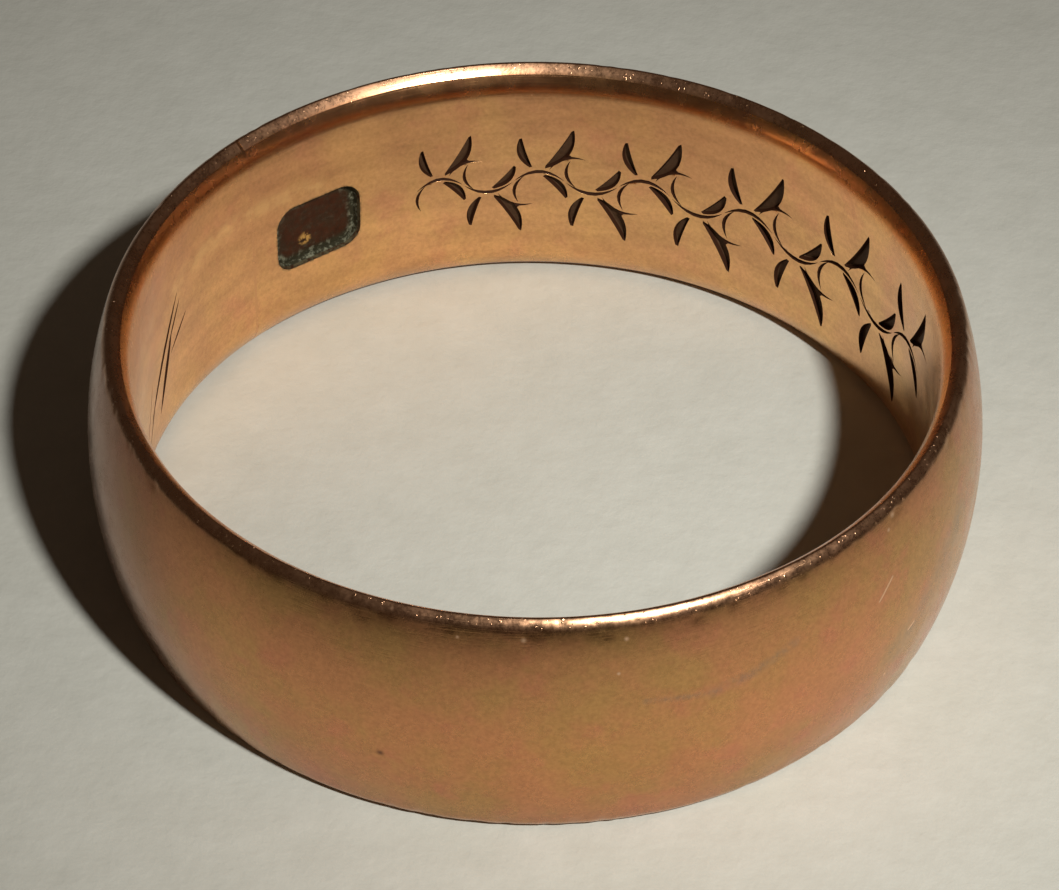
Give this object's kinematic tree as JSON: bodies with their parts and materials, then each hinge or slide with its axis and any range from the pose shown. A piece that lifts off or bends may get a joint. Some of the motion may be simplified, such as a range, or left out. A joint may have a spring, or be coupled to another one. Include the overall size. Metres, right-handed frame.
{
  "type": "wedding band",
  "caption": "worn rolled-gold finger ring with a domed outside, straight bore with eased edges, soldered joint and a leaf vine cut inside",
  "frame": {"origin": "centre of the bore, half way along the finger axis", "axes": "+Z is the finger axis; the engraved vine is centred near 60 degrees from +X, counter-clockwise seen from +Z, and the soldered joint is at 138 degrees"},
  "size_m": [0.0196, 0.0196, 0.006],
  "materials": {
    "base_metal": "raw cut metal, tarnished where bared",
    "outer_gold": "worn satin reddish gold",
    "lining_gold": "rubbed satin gold",
    "solder": "dull solder"
  },
  "bodies": {
    "root": {"base_metal_core": "base_metal", "outer_gold_shell": "outer_gold", "inner_gold_lining": "lining_gold", "joint_solder": "solder"}
  },
  "joints": []
}
